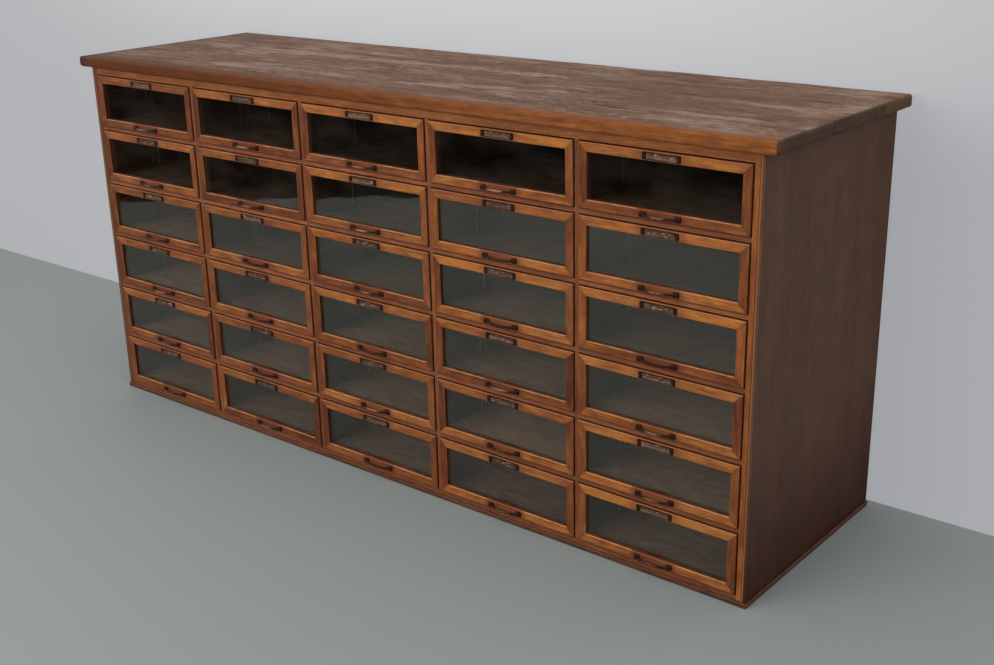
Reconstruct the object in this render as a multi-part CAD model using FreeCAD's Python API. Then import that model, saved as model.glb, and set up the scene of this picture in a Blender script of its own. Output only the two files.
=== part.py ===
"""Haberdashery cabinet: a floor-standing shop counter with glass-fronted drawers in columns and rows.

X runs along the front, +Y to the back and +Z up, in millimetres.
The origin lies on the floor, midway along the front and midway from the pulls to the back boards.
"""
import FreeCAD, Part
import math
import os

os.makedirs("parts", exist_ok=True)
Vector = FreeCAD.Vector

# Overall size and layout
columns = 5
rows = 6
case_width = 1911.0
case_depth = 535.0
cabinet_height = 900.0

# Worktop of three lengthwise planks, with its overhangs and worn edges
worktop_thickness = 27.0
overhang_end = 28.0
overhang_front = 15.0
front_plank_width = 212.0
rear_plank_width = 125.0
worktop_nose_radius = 6.0
worktop_under_arris = 2.5

# Face frame: its members are all as deep as each other
frame_depth = 22.0
stile_width = 15.0
divider_width = 9.0
row_rail_height = 10.0
top_rail_height = 18.0
bottom_rail_height = 12.0
tenon_length = 6.0
tenon_thickness = 8.0

# Carcase behind the face frame
end_panel_thickness = 5.0
back_board_thickness = 8.0
back_board_count = 12
back_board_gap = 1.0
runner_width = 14.0
stop_rail_depth = 20.0
stop_height = 8.0
bearer_depth = 60.0

# Base strips under the case, mitred at the corners
base_height = 10.0
base_strip_width = 60.0
base_projection = 4.0
base_arris = 2.0

# Running clearances of a drawer in its cell
side_gap = 1.6
gap_under_front = 1.0
gap_over_front = 2.5
running_gap = 0.3

# Glazed drawer front: mitred members with a bevel at the sight edge and a rebate behind for the glass
front_thickness = 18.0
front_proud = 4.0
member_width = 18.5
front_arris = 1.5
sight_bevel = 1.5
lip_depth = 5.0
rebate_width = 6.0
glass_thickness = 3.0
bead_width = 5.0

# Drawer box behind the front
drawer_side_height = 104.0
drawer_side_thickness = 9.0
drawer_back_thickness = 9.0
drawer_bottom_thickness = 5.0
groove_depth = 4.0
groove_rise = 6.0

# Bow pull on the lower member: one casting of two low feet and a bar that bows out between them
pull_centres = 75.0
foot_width = 13.0
foot_height = 11.0
foot_depth = 5.5
foot_taper = 1.5
pull_reach = 15.5
bar_height = 5.0
bar_thickness = 3.4
bar_lift = 1.2
bow_facets = 6

# Label holder on the upper member: a stamped tray with a window, and the card in it
holder_width = 81.0
holder_height = 14.0
holder_thickness = 2.0
holder_end = 9.0
holder_lip = 1.6
card_thickness = 0.8
card_overlap = 1.0

# Lines of the case worked out from the sizes above
cabinet_depth = case_depth + front_proud + pull_reach
face_y = front_proud + pull_reach - cabinet_depth / 2
back_y = face_y + case_depth
frame_back_y = face_y + frame_depth
inner_back_y = back_y - back_board_thickness
stop_y = inner_back_y - stop_rail_depth
case_x = case_width / 2
inner_x = case_x - end_panel_thickness
frame_x = inner_x - stile_width
case_top_z = cabinet_height - worktop_thickness
cell_area_top_z = case_top_z - top_rail_height
cell_area_bottom_z = base_height + bottom_rail_height
cell_width = (2 * frame_x - (columns - 1) * divider_width) / columns
cell_height = (cell_area_top_z - cell_area_bottom_z - (rows - 1) * row_rail_height) / rows


def cell_left(column):
    """Left edge of a column of cells, counted from 1 at the left."""
    return -frame_x + (column - 1) * (cell_width + divider_width)


def cell_bottom(row):
    """Lower edge of a row of cells, counted from 1 at the top."""
    return cell_area_top_z - row * cell_height - (row - 1) * row_rail_height


def board(x_span, y_span, z_span):
    """A plain board between two faces along each axis."""
    corner = Vector(x_span[0], y_span[0], z_span[0])
    return Part.makeBox(x_span[1] - x_span[0], y_span[1] - y_span[0], z_span[1] - z_span[0], corner)


def prism(points, direction):
    """A flat outline pushed along a direction."""
    outline = Part.makePolygon([Vector(*p) for p in points + points[:1]])
    return Part.Face(outline).extrude(Vector(*direction))


def edges_on(solid, **planes):
    """Edges that lie wholly on the named planes, such as z=900.0."""
    def on_planes(point):
        return all(abs(getattr(point, axis) - at) < 1e-6 for axis, at in planes.items())
    return [edge for edge in solid.Edges if all(on_planes(v.Point) for v in edge.Vertexes)]


nodes = {}


def keep(name, *solids):
    """Adds solids to the named sub-part."""
    nodes.setdefault(name, []).extend(solids)


# Worktop planks

def worktop_plank(y_span):
    """A full-length plank, rounded over at both ends, with the arris taken off below."""
    end_x = case_x + overhang_end
    plank = board((-end_x, end_x), y_span, (case_top_z, cabinet_height))
    upper = edges_on(plank, x=end_x, z=cabinet_height) + edges_on(plank, x=-end_x, z=cabinet_height)
    if y_span[0] < face_y:
        upper += edges_on(plank, y=y_span[0], z=cabinet_height)
    plank = plank.makeFillet(worktop_nose_radius, upper)
    lower = edges_on(plank, x=end_x, z=case_top_z) + edges_on(plank, x=-end_x, z=case_top_z)
    if y_span[0] < face_y:
        lower += edges_on(plank, y=y_span[0], z=case_top_z)
    return plank.makeChamfer(worktop_under_arris, lower)


worktop_front_y = face_y - overhang_front
front_joint_y = worktop_front_y + front_plank_width
rear_joint_y = back_y - rear_plank_width
keep("worktop_front_plank", worktop_plank((worktop_front_y, front_joint_y)))
keep("worktop_middle_plank", worktop_plank((front_joint_y, rear_joint_y)))
keep("worktop_rear_plank", worktop_plank((rear_joint_y, back_y)))


# Face frame, jointed with stub tenons

def tenon(x_span, z_span):
    """The volume of a stub tenon, centred in the depth of the frame."""
    middle_y = face_y + frame_depth / 2
    return board(x_span, (middle_y - tenon_thickness / 2, middle_y + tenon_thickness / 2), z_span)


frame_y = (face_y, frame_back_y)
frame_z = (base_height, case_top_z)
stiles = {
    "left_stile": board((-inner_x, -frame_x), frame_y, frame_z),
    "right_stile": board((frame_x, inner_x), frame_y, frame_z),
}
rail_reach_x = frame_x + tenon_length
for rail_name, rail_z in (
    ("top_rail", (cell_area_top_z, case_top_z)),
    ("bottom_rail", (base_height, cell_area_bottom_z)),
):
    rail_tenons = tenon((-rail_reach_x, rail_reach_x), rail_z)
    stiles = {name: stile.cut(rail_tenons) for name, stile in stiles.items()}
    keep(rail_name, board((-frame_x, frame_x), frame_y, rail_z).fuse(rail_tenons).removeSplitter())
for stile_name, stile in stiles.items():
    keep(stile_name, stile)

for column in range(1, columns):
    left = cell_left(column) + cell_width
    span = (left, left + divider_width)
    keep(f"divider_{column}", board(span, frame_y, (cell_area_bottom_z, cell_area_top_z)))
    keep(f"partition_{column}", board(span, (frame_back_y, inner_back_y), frame_z))

for row in range(1, rows):
    rail_top = cell_bottom(row)
    for column in range(1, columns + 1):
        left = cell_left(column)
        span_z = (rail_top - row_rail_height, rail_top)
        keep(f"row_rail_{row}", board((left, left + cell_width), frame_y, span_z))


# Ends, bottom, back and bearers

for side, name in ((-1, "left"), (1, "right")):
    gable_x = sorted((side * frame_x, side * inner_x))
    skin_x = sorted((side * inner_x, side * case_x))
    keep(f"{name}_gable", board(gable_x, (frame_back_y, inner_back_y), frame_z))
    keep(f"{name}_end_panel", board(skin_x, (face_y, back_y), frame_z))

for column in range(1, columns + 1):
    left = cell_left(column)
    span = (left, left + cell_width)
    keep("bottom_boards", board(span, (frame_back_y, inner_back_y), (base_height, cell_area_bottom_z)))
    front_bearer = (frame_back_y, frame_back_y + bearer_depth)
    rear_bearer = (inner_back_y - bearer_depth, inner_back_y)
    for bearer_y in (front_bearer, rear_bearer):
        bearer_z = (cell_area_top_z + row_rail_height, case_top_z)
        keep("top_bearers", board(span, bearer_y, bearer_z))

board_pitch = 2 * inner_x / back_board_count
for index in range(back_board_count):
    left = -inner_x + index * board_pitch
    span = (left + back_board_gap / 2, left + board_pitch - back_board_gap / 2)
    keep("back_boards", board(span, (inner_back_y, back_y), frame_z))


# Runners that carry the drawers, kickers over the top row, and rear rails that stop the drawers

for row in range(0, rows):
    strip_top = cell_area_top_z + row_rail_height if row == 0 else cell_bottom(row)
    strip_z = (strip_top - row_rail_height, strip_top)
    for column in range(1, columns + 1):
        left = cell_left(column)
        right = left + cell_width
        for strip_x in ((left, left + runner_width), (right - runner_width, right)):
            keep("runners_and_kickers", board(strip_x, (frame_back_y, stop_y), strip_z))

for row in range(1, rows + 1):
    floor_z = cell_bottom(row)
    foot_z = floor_z if row == rows else floor_z - row_rail_height
    for column in range(1, columns + 1):
        left = cell_left(column)
        span = (left, left + cell_width)
        keep("stop_rails", board(span, (stop_y, inner_back_y), (foot_z, floor_z + stop_height)))


# Base strips

def base_strips():
    """Four strips with mitred corners and a small arris along the outer upper edge."""
    outer_x = case_x + base_projection
    outer_y = face_y - base_projection

    def ring(inset):
        """Corners of the strips' outline, from the front left one round to the rear left one."""
        reach_x = outer_x - inset
        return [
            (-reach_x, outer_y + inset),
            (reach_x, outer_y + inset),
            (reach_x, back_y - inset),
            (-reach_x, back_y - inset),
        ]

    outer = ring(0.0)
    inner = ring(base_strip_width)
    worn_sides = ({"y": outer_y}, {"x": outer_x}, None, {"x": -outer_x})
    strips = []
    for index, worn_side in enumerate(worn_sides):
        after = (index + 1) % 4
        outline = [outer[index], outer[after], inner[after], inner[index]]
        strip = prism([(x, y, 0.0) for x, y in outline], (0, 0, base_height))
        if worn_side:
            strip = strip.makeChamfer(base_arris, edges_on(strip, z=base_height, **worn_side))
        strips.append(strip)
    return strips


keep("base_frame", *base_strips())


# One drawer, modelled in a cell whose lower left front corner is the origin

front_width = cell_width - 2 * side_gap
front_height = cell_height - gap_under_front - gap_over_front
front_y = -front_proud
front_back_y = front_y + front_thickness
box_back_y = stop_y - face_y - running_gap


def member_section():
    """Section of a front member: across from its outer edge, and back from its face."""
    sight = member_width
    return [
        (0.0, front_arris),
        (front_arris, 0.0),
        (sight - sight_bevel, 0.0),
        (sight, sight_bevel),
        (sight, lip_depth),
        (sight - rebate_width, lip_depth),
        (sight - rebate_width, front_thickness),
        (0.0, front_thickness),
    ]


def mitred_frame(section, width, height, depth):
    """Four members of one section, each trimmed to its share of a mitred rectangle."""
    middle = Vector(width / 2, 0, height / 2)
    across = max(u for u, _ in section)
    members = []
    for turn, length in ((0, width), (90, height), (180, width), (270, height)):
        other = height if length == width else width
        long_half = length / 2
        short_half = long_half - across
        outer_z = -other / 2
        inner_z = outer_z + across
        blank = prism([(-long_half, v, outer_z + u) for u, v in section], (length, 0, 0))
        mitres = [(-long_half, outer_z), (long_half, outer_z), (short_half, inner_z), (-short_half, inner_z)]
        trim = prism([(x, 0, z) for x, z in mitres], (0, depth, 0))
        member = blank.common(trim).Solids[0]
        member.rotate(Vector(0, 0, 0), Vector(0, -1, 0), turn)
        member.translate(middle)
        members.append(member)
    return members


def glazed_front():
    """Mitred front frame, with its pane and the beads that hold the pane in the rebate."""
    members = mitred_frame(member_section(), front_width, front_height, front_thickness)
    inset = member_width - rebate_width
    pane_y = (lip_depth, lip_depth + glass_thickness)
    pane = board((inset, front_width - inset), pane_y, (inset, front_height - inset))
    bead_depth = front_thickness - pane_y[1]
    bead_section = [(0.0, 0.0), (bead_width, 0.0), (bead_width, bead_depth), (0.0, bead_depth)]
    beads = mitred_frame(bead_section, front_width - 2 * inset, front_height - 2 * inset, bead_depth)
    for bead in beads:
        bead.translate(Vector(inset, pane_y[1], inset))
    solids = members + [pane] + beads
    for solid in solids:
        solid.translate(Vector(side_gap, front_y, gap_under_front))
    return solids


def drawer_box():
    """Two grooved sides, a bottom slid in from behind, and a back that stands on it."""
    left = side_gap
    right = side_gap + front_width
    side_z = (running_gap, running_gap + drawer_side_height)
    bottom_z = (running_gap + groove_rise, running_gap + groove_rise + drawer_bottom_thickness)
    run_y = (front_back_y, box_back_y)
    inner = (left + drawer_side_thickness, right - drawer_side_thickness)
    bottom = board((inner[0] - groove_depth, inner[1] + groove_depth), run_y, bottom_z)
    left_side = board((left, inner[0]), run_y, side_z).cut(bottom)
    right_side = board((inner[1], right), run_y, side_z).cut(bottom)
    back = board(inner, (box_back_y - drawer_back_thickness, box_back_y), (bottom_z[1], side_z[1]))
    return [left_side, right_side, bottom, back]


def bow_pull():
    """A casting screwed to the lower member: a tapered foot at each end, and a bar bowed out between them."""
    middle_x = side_gap + front_width / 2
    middle_z = gap_under_front + member_width / 2
    feet = []
    for side in (-1, 1):
        foot_x = middle_x + side * pull_centres / 2
        foot = board(
            (foot_x - foot_width / 2, foot_x + foot_width / 2),
            (front_y - foot_depth, front_y),
            (middle_z - foot_height / 2, middle_z + foot_height / 2),
        )
        feet.append(foot.makeChamfer(foot_taper, edges_on(foot, y=front_y - foot_depth)))

    rise = pull_reach - bar_lift - bar_thickness
    reach = pull_centres / 2
    radius = (reach ** 2 + rise ** 2) / (2 * rise)
    half_angle = math.asin(reach / radius)

    def bow(lift):
        """Flat facets round an arc over the feet's middles, with its ends at a lift from the wood."""
        angles = [half_angle * (2 * step / bow_facets - 1) for step in range(bow_facets + 1)]
        centre_y = front_y - lift - rise + radius
        return [(middle_x + radius * math.sin(a), centre_y - radius * math.cos(a)) for a in angles]

    outline = bow(bar_lift + bar_thickness) + bow(bar_lift)[::-1]
    bar_z = middle_z - bar_height / 2
    bar = prism([(x, y, bar_z) for x, y in outline], (0, 0, bar_height))
    return [bar.fuse(feet).removeSplitter().Solids[0]]


def label_holder():
    """A stamped tray with a window, and the card that lies in it against the member."""
    middle_x = side_gap + front_width / 2
    middle_z = gap_under_front + front_height - member_width / 2
    half_width = holder_width / 2
    half_height = holder_height / 2

    def block(inset_x, inset_z, y_span):
        return board(
            (middle_x - half_width + inset_x, middle_x + half_width - inset_x),
            y_span,
            (middle_z - half_height + inset_z, middle_z + half_height - inset_z),
        )

    tray = block(0.0, 0.0, (front_y - holder_thickness, front_y))
    window = block(holder_end, holder_lip, (front_y - holder_thickness, front_y))
    card = block(holder_end - card_overlap, holder_lip - card_overlap, (front_y - card_thickness, front_y))
    return [tray.cut(window).cut(card), card]


drawer_solids = glazed_front() + drawer_box() + bow_pull() + label_holder()
for row in range(1, rows + 1):
    for column in range(1, columns + 1):
        place = Vector(cell_left(column), face_y, cell_bottom(row))
        for solid in drawer_solids:
            keep(f"drawer_r{row}_c{column}", solid.translated(place))


for node_name, solids in nodes.items():
    shape = solids[0] if len(solids) == 1 else Part.makeCompound(solids)
    shape.exportStep(f"parts/{node_name}.step")
print(len(nodes), "sub-parts,", sum(len(solids) for solids in nodes.values()), "solids")
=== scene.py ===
# %% [markdown]
# # A haberdashery counter with thirty glazed drawers
#
# The real piece is a long shop counter: a scrubbed plank top over a grid of small drawers, each with
# a pane in a mitred frame, a bow pull and a label holder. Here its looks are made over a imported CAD
# frame. The frame says where everything is, so each size below is read from it or named once.

# %% The frame and its box
import math
import random

import bmesh
import bpy
from mathutils import Matrix, Vector, noise


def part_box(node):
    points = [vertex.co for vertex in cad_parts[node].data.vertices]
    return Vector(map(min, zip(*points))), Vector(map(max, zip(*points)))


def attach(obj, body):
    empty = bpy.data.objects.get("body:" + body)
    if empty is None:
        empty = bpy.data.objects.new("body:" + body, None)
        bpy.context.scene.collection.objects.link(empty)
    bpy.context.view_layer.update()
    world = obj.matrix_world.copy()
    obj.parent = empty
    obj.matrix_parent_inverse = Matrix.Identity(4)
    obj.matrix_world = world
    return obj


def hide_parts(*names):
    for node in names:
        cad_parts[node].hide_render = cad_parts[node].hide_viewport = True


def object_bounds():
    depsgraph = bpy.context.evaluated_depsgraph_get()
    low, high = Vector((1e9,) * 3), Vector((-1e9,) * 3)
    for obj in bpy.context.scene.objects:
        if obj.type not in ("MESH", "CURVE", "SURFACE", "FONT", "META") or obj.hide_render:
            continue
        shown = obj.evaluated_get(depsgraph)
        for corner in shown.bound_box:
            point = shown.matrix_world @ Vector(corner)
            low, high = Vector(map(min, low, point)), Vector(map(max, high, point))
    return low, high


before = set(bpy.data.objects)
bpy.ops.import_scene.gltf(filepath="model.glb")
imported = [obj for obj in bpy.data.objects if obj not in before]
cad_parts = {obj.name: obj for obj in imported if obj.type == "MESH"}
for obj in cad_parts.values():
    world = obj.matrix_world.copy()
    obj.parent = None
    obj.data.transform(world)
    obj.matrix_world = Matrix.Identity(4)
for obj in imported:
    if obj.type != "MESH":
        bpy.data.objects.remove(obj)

cad_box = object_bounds()
print("CAD box:", cad_box)

# %% [markdown]
# ## The camera
#
# The photograph looks down a little on the front right corner, from 1.35 m above the floor. The lens and
# the place were found by fitting a plain camera to measured corners, so they stand as they came out.

# %% Camera at the photograph's angle
scene = bpy.context.scene
camera_data = bpy.data.cameras.new("camera")
camera_data.lens = 47.747
camera_data.sensor_width = 36.0
camera = bpy.data.objects.new("camera", camera_data)
camera.location = (1.98975, -2.22287, 1.34532)
camera.rotation_euler = [math.radians(angle) for angle in (70.284, 1.2357, 39.1974)]
scene.collection.objects.link(camera)
scene.camera = camera
scene.view_settings.view_transform = "Standard"

# %% [markdown]
# ## Sizes
#
# A cabinet maker works from a few sizes and measures the rest on the job. The places of the drawers
# come from the frame. The sizes of a drawer's own pieces are named here, because the frame gives a
# drawer as one box.

# %% Sizes of the glazed front and of the box behind it
front_thickness = 0.018
front_height = 0.127
member_width = 0.0185
front_arris = 0.0015
sight_bevel = 0.0015
lip_depth = 0.005
rebate_width = 0.006
glass_thickness = 0.003
bead_width = 0.005
front_proud = 0.004
box_height = 0.104
box_board = 0.009
bottom_rise = 0.006
bottom_thickness = 0.005
face_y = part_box("left_stile")[0].y
print("face of the case at y", round(face_y, 5))

# %% Drawers of the frame
drawer_names = sorted(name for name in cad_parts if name.startswith("drawer_r"))


def grid_place(name):
    """Row and column of a drawer, counted from 0 at the top left, from a name like drawer_r2_c5."""
    row, column = name.replace("drawer_r", "").split("_c")
    return int(row) - 1, int(column) - 1


print(len(drawer_names), "drawers, the last at", grid_place(drawer_names[-1]))

# %% [markdown]
# ## Boards that know their own grain
#
# Wood looks like wood when each board has its own grain, which runs along it. So every board stores, at
# its vertices, where a point lies from the board's middle with the grain first (`grain`), the board's
# half sizes (`half`) and a number of its own (`tone`). A material can then draw streaks along the board,
# wear on its arrises and a tone of its own, and none of that slides when the drawer moves.

# %% A board with its arrises taken off
dice = random.Random(7)
grain_order = {"x": (0, 1, 2), "y": (1, 0, 2), "z": (2, 0, 1)}


def new_wood():
    """A bmesh with the four layers that the wood finishes read."""
    bm = bmesh.new()
    bm.verts.layers.float_vector.new("grain")
    bm.verts.layers.float_vector.new("half")
    bm.verts.layers.float.new("tone")
    bm.verts.layers.float.new("handled")
    return bm


def mark_board(bm, verts, middle, half, order, tone, handled=0.0):
    """Writes the layers of one board."""
    vectors, numbers = bm.verts.layers.float_vector, bm.verts.layers.float
    for vert in verts:
        away = vert.co - middle
        vert[vectors["grain"]] = Vector([away[axis] for axis in order])
        vert[vectors["half"]] = Vector([half[axis] for axis in order])
        vert[numbers["tone"]] = tone
        vert[numbers["handled"]] = handled


def new_verts(bm, before):
    return [vert for vert in bm.verts if vert not in before]


def new_edges(bm, before):
    return list({edge for vert in new_verts(bm, before) for edge in vert.link_edges})


def cut_off(bm, before, point, normal):
    """Cuts what is new off beyond a plane, and closes the cut."""
    verts = new_verts(bm, before)
    faces = list({face for vert in verts for face in vert.link_faces})
    cut = bmesh.ops.bisect_plane(bm, geom=verts + new_edges(bm, before) + faces, dist=1e-7,
                                 plane_co=point, plane_no=normal, clear_outer=True)
    rim = [item for item in cut["geom_cut"] if isinstance(item, bmesh.types.BMEdge)]
    bmesh.ops.holes_fill(bm, edges=rim, sides=0)


def score(bm, point, normal):
    """Cuts every face along a plane, and takes nothing away."""
    bmesh.ops.bisect_plane(bm, geom=list(bm.verts) + list(bm.edges) + list(bm.faces), dist=1e-7,
                           plane_co=point, plane_no=normal)


def shade_smooth(faces):
    for face in faces:
        face.smooth = True


def round_off(bm, edges, width, segments=2):
    """Rounds edges over and gives back the new faces."""
    return bmesh.ops.bevel(bm, geom=edges, offset=width, offset_type="OFFSET", segments=segments, profile=0.5,
                           affect="EDGES", material=-1, clamp_overlap=True)["faces"]


def soften(bm, before, width):
    """Rounds every new edge that has an angle, and shades the rounding smooth."""
    shade_smooth(round_off(bm, [e for e in new_edges(bm, before) if e.calc_face_angle(0.0) > 0.3], width))


def put_board(bm, low, high, along, arris=0.0008, cuts=(), tone=None):
    """A board between two corners, cut at the given planes, with its arrises off."""
    before = set(bm.verts)
    low, high = Vector(low), Vector(high)
    middle = (low + high) / 2
    bmesh.ops.create_cube(bm, size=1.0, matrix=Matrix.LocRotScale(middle, None, high - low))
    for point, normal in cuts:
        cut_off(bm, before, point, normal)
    soften(bm, before, arris)
    tone = dice.random() if tone is None else tone
    mark_board(bm, new_verts(bm, before), middle, (high - low) / 2, grain_order[along], tone)


# %% From bmesh to a piece of the cabinet
def new_object(bm, name, materials):
    mesh = bpy.data.meshes.new(name)
    bm.to_mesh(mesh)
    bm.free()
    for material in materials:
        mesh.materials.append(material)
    piece = bpy.data.objects.new(name, mesh)
    scene.collection.objects.link(piece)
    return piece


def make_piece(bm, name, materials, body, nodes=()):
    """Turns a bmesh into a piece that rides on a body and may stand for CAD nodes."""
    piece = new_object(bm, name, materials)
    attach(piece, body)
    if nodes:
        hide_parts(*nodes)
    return piece


# %% [markdown]
# ## Finishes
#
# A material is a small recipe of nodes. These helpers keep each recipe short: `put` adds a node and
# wires or sets its inputs, and the others name the few nodes that wood needs again and again.

# %% Helpers for node recipes
def colour(*screen):
    """A colour given on a 0 to 255 screen scale, as the linear values a shader wants."""
    linear = [v / 255 / 12.92 if v <= 10 else ((v / 255 + 0.055) / 1.055) ** 2.4 for v in screen]
    return (*linear, 1.0)


def new_finish(name):
    material = bpy.data.materials.new(name)
    material.use_nodes = True
    material.node_tree.nodes.clear()
    return material, material.node_tree


def put(tree, kind, inputs, output=0, **settings):
    """Adds a node, wires sockets and sets numbers, and gives back one of its outputs."""
    node = tree.nodes.new("ShaderNode" + kind)
    for key, value in settings.items():
        setattr(node, key, value)
    for key, value in inputs.items():
        if isinstance(value, bpy.types.NodeSocket):
            tree.links.new(value, node.inputs[key])
        else:
            node.inputs[key].default_value = value
    return node.outputs[output]


def show(tree, surface):
    tree.links.new(surface, tree.nodes.new("ShaderNodeOutputMaterial").inputs[0])


def maths(tree, operation, *values):
    return put(tree, "Math", dict(enumerate(values)), operation=operation)


def times(tree, a, b):
    return maths(tree, "MULTIPLY", a, b)


def sway(tree, value, by, amount):
    """Moves a value up and down with a number that lies about 0.5."""
    return maths(tree, "MULTIPLY_ADD", maths(tree, "SUBTRACT", by, 0.5), amount, value)


def stored(tree, name, output=2):
    """A layer that the piece carries: output 2 is a number, output 1 a vector."""
    return put(tree, "Attribute", {}, output=output, attribute_name=name)


def object_place(tree):
    return put(tree, "TexCoord", {}, output=3)


def split(tree, vector):
    return put(tree, "SeparateXYZ", {0: vector}).node.outputs


def mix(tree, factor, a, b, blend="MIX"):
    """Mixes two colours. Three numbers are a screen colour, four are linear values."""
    a, b = (colour(*side) if isinstance(side, tuple) and len(side) == 3 else side for side in (a, b))
    return put(tree, "Mix", {0: factor, 6: a, 7: b}, output=2, data_type="RGBA", blend_type=blend)


def grains(tree, vector, scale, detail=4.0, roughness=0.6, distortion=0.0, shift=(0.0, 0.0, 0.0)):
    """A noise about 0.5. A small scale along an axis draws it out that way, like grain in wood."""
    place = put(tree, "Mapping", {"Vector": vector, "Scale": scale, "Location": shift})
    return put(tree, "TexNoise", {
        "Vector": place, "Scale": 1.0, "Detail": detail, "Roughness": roughness, "Distortion": distortion,
    })


def step(tree, value, start, end, low=0.0, high=1.0):
    """A smooth step from low to high while the value goes from start to end."""
    values = {"Value": value, "From Min": start, "From Max": end, "To Min": low, "To Max": high}
    return put(tree, "MapRange", values, interpolation_type="SMOOTHSTEP")


def ramp(tree, factor, stops):
    node = tree.nodes.new("ShaderNodeValToRGB")
    tree.links.new(factor, node.inputs[0])
    while len(node.color_ramp.elements) < len(stops):
        node.color_ramp.elements.new(1.0)
    for element, (place, shade) in zip(node.color_ramp.elements, stops):
        element.position = place
        element.color = colour(*shade)
    return node.outputs[0]


# %% [markdown]
# ## Waxed, stained and scrubbed wood
#
# All the wood of the cabinet is drawn as one oak, treated in different ways. The recipe has long fine
# streaks, a slower figure, pores, a tone for each board, blotches that are redder or more golden, and
# rubbed arrises. The shades and the strength of each part make it a drawer front or a worktop.

# %% The oak recipe
def board_place(tree, along):
    """Where a point lies in its board, grain first, and the board's own number.

    A carried-over CAD solid has no layers, so its grain runs along x or y of the object."""
    if along is None:
        return stored(tree, "grain", 1), stored(tree, "tone")
    turn = (0.0, 0.0, math.pi / 2 if along == "y" else 0.0)
    grain = put(tree, "Mapping", {"Vector": object_place(tree), "Rotation": turn})
    return grain, grains(tree, grain, (0.1, 7.0, 7.0), 0.0)


def arris_distance(tree, grain):
    """How far a point on a face lies from the board's nearest arris, and how far from its nearer end."""
    half = stored(tree, "half", 1)
    positive = put(tree, "VectorMath", {0: grain}, operation="ABSOLUTE")
    inside = put(tree, "VectorMath", {0: half, 1: positive}, operation="SUBTRACT")
    gaps = split(tree, inside)
    # Of the three distances to the board's sides, the middle one is the way to the nearest arris.
    first = maths(tree, "MINIMUM", gaps[0], gaps[1])
    last = maths(tree, "MAXIMUM", gaps[0], gaps[1])
    return maths(tree, "MAXIMUM", first, maths(tree, "MINIMUM", last, gaps[2])), gaps[0]


red_blotch = (1.0, 0.70, 0.55, 1.0)
gold_blotch = (1.32, 1.18, 0.68, 1.0)


def oak(name, deep, middle, pale, rubbed=None, rough=(0.38, 0.6), relief=0.00025, figure=0.5,
        wear_width=0.0016, wear=0.6, patch=0.35, gloss=0.4, tone_spread=0.3, streak=0.6,
        along=None, extra=None):
    """Wood in three shades by its level, with a fourth at rubbed arrises; `extra` adds its own history."""
    material, tree = new_finish(name)
    grain, tone = board_place(tree, along)
    # The board's number also shifts the noises, so that no two boards show the same piece of grain.
    shifts = {axis: times(tree, tone, far) for axis, far in enumerate((31, 17, 5))}
    place = put(tree, "VectorMath", {0: grain, 1: put(tree, "CombineXYZ", shifts)}, operation="ADD")
    fine = grains(tree, place, (11.0, 380.0, 380.0), 6.0, 0.72)
    slow = grains(tree, place, (2.6, 42.0, 42.0), 3.0, 0.55, 0.4)
    rings = maths(tree, "SINE", times(tree, slow, 44.0))
    level = maths(tree, "MULTIPLY_ADD", rings, 0.22 * figure, 0.5)
    level = sway(tree, level, fine, 1.6 * streak)
    threads = grains(tree, place, (24.0, 170.0, 170.0), 3.0, 0.7, shift=(9.0, 3.0, 1.0))
    level = maths(tree, "ADD", level, step(tree, threads, 0.38, 0.62, -0.25 * streak, 0.25 * streak))
    level = sway(tree, level, tone, tone_spread)
    patches = grains(tree, place, (16.0, 40.0, 40.0), 6.0, 0.68)
    level = sway(tree, level, patches, 2.0 * patch)
    shade = ramp(tree, level, [(0.12, deep), (0.5, middle), (0.88, pale)])
    redder = grains(tree, place, (9.0, 26.0, 26.0), 2.0, 0.5, shift=(3.0, 1.0, 7.0))
    shade = mix(tree, step(tree, redder, 0.50, 0.62, 0.0, 0.9 * patch), shade, red_blotch, "MULTIPLY")
    shade = mix(tree, step(tree, redder, 0.34, 0.47, 0.9 * patch, 0.0), shade, gold_blotch, "MULTIPLY")
    pores = step(tree, grains(tree, place, (55.0, 1500.0, 1500.0), 2.0), 0.56, 0.66)
    shade = mix(tree, times(tree, pores, 0.55), shade, deep)
    if along is None:
        arris, end = arris_distance(tree, grain)
        ragged = grains(tree, place, (60.0, 160.0, 160.0), 4.0)
        arris = sway(tree, arris, ragged, 2.4 * wear_width)
        shade = mix(tree, step(tree, arris, 0.0, wear_width, wear, 0.0), shade, rubbed or pale)
    if extra:
        shade = extra(tree, shade, grain, level, end)
    roughness = maths(tree, "MULTIPLY_ADD", patches, rough[1] - rough[0], rough[0])
    height = maths(tree, "MULTIPLY_ADD", pores, -0.8, fine)
    bump = put(tree, "Bump", {"Strength": 0.6, "Distance": relief, "Height": height})
    show(tree, put(tree, "BsdfPrincipled", {
        "Base Color": shade, "Roughness": roughness, "Normal": bump, "Specular IOR Level": gloss,
    }))
    return material
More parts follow.
